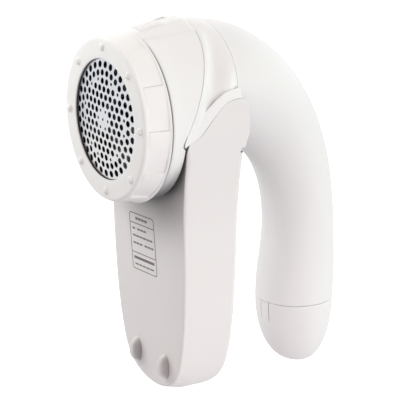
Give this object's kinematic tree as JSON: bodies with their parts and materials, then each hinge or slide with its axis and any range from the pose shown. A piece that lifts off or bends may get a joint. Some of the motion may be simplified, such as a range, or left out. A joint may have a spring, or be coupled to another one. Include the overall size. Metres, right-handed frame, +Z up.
{
  "type": "fabric shaver",
  "caption": "Battery fabric shaver: perforated foil in a bumped guard ring over a spinning cutter, arched battery handle and pull-off lint box.",
  "frame": {"origin": "centre of the bottom of the whole object's bounding box, at the level of the battery cap's lowest point", "axes": "+Z up along the handle's straight part, -Y the way the foil faces, +X to the right of someone facing the foil's back"},
  "size_m": [0.0738, 0.1186, 0.1673],
  "materials": {
    "white_shell": "satin white moulding",
    "white_box": "satin white moulding, slightly warmer",
    "white_ring": "satin white moulding",
    "inner_plastic": "matt grey inner moulding",
    "foil_steel": "polished perforated stainless foil",
    "blade_steel": "ground blade steel",
    "spring_steel": "bright spring and screw steel",
    "motor_steel": "plated motor steel",
    "black_plastic": "black inner moulding",
    "brass": "contact metal",
    "cell_wrap": "plain coloured cell sleeve",
    "red_wire": "wire insulation",
    "black_wire": "wire insulation"
  },
  "bodies": {
    "housing": {"head_barrel": "white_shell", "switch_body": "black_plastic", "neck_shell": "white_shell", "chamber_shell": "inner_plastic", "motor_bulkhead": "inner_plastic", "motor_can": "motor_steel", "motor_end_bell": "black_plastic", "motor_screw_1": "spring_steel", "motor_screw_2": "spring_steel", "motor_terminal_a": "brass", "motor_terminal_b": "brass", "handle_right": "white_shell", "handle_left": "white_shell", "handle_screw_1": "spring_steel", "handle_screw_2": "spring_steel", "handle_screw_3": "spring_steel", "battery_cell_1": "cell_wrap", "battery_cell_2": "cell_wrap", "contact_block": "inner_plastic", "contact_plate": "brass", "contact_spring": "spring_steel", "wire_battery_motor": "black_wire", "wire_battery_switch": "red_wire", "wire_switch_motor": "red_wire", "neck_cheek_right": "white_shell", "neck_cheek_left": "white_shell"},
    "rotor": {"motor_shaft": "motor_steel", "drive_spindle": "black_plastic", "suction_fan": "inner_plastic", "cutter_spring": "spring_steel"},
    "cutter": {"cutter_hub": "black_plastic", "cutter_blade_1": "blade_steel", "cutter_blade_2": "blade_steel", "cutter_blade_3": "blade_steel"},
    "foil_carrier": {"foil_frame": "black_plastic", "foil_screen": "foil_steel"},
    "guard": {"guard_ring": "white_ring"},
    "switch": {"power_switch_knob": "white_ring"},
    "lint_container": {"lint_box": "white_box"},
    "cap": {"battery_cap": "white_shell", "cap_bridge_plate": "brass", "cap_spring_1": "spring_steel", "cap_spring_2": "spring_steel"}
  },
  "joints": [
    {"name": "rotor_spin", "type": "hinge", "parent": "housing", "child": "rotor", "pos_m": [0, -0.0583, 0.1263], "axis": [0, 1, 0], "continuous": true},
    {"name": "cutter_float", "type": "slide", "parent": "rotor", "child": "cutter", "axis": [0, 1, 0], "range_m": [0, 0.001], "stiffness_N_per_m": 800},
    {"name": "foil_frame_turn", "type": "hinge", "parent": "housing", "child": "foil_carrier", "pos_m": [0, -0.0583, 0.1263], "axis": [0, -1, 0], "range_deg": [0, 27]},
    {"name": "guard_ring_pull", "type": "slide", "parent": "foil_carrier", "child": "guard", "axis": [0, -1, 0], "range_m": [0, 0.02]},
    {"name": "power_switch_slide", "type": "slide", "parent": "housing", "child": "switch", "axis": [0, 0.9867, 0.1628], "range_m": [0, 0.004]},
    {"name": "lint_box_pull", "type": "slide", "parent": "housing", "child": "lint_container", "axis": [0, 0, -1], "range_m": [0, 0.06]},
    {"name": "battery_cap_pull", "type": "slide", "parent": "housing", "child": "cap", "axis": [0, 0, -1], "range_m": [0, 0.03]}
  ]
}
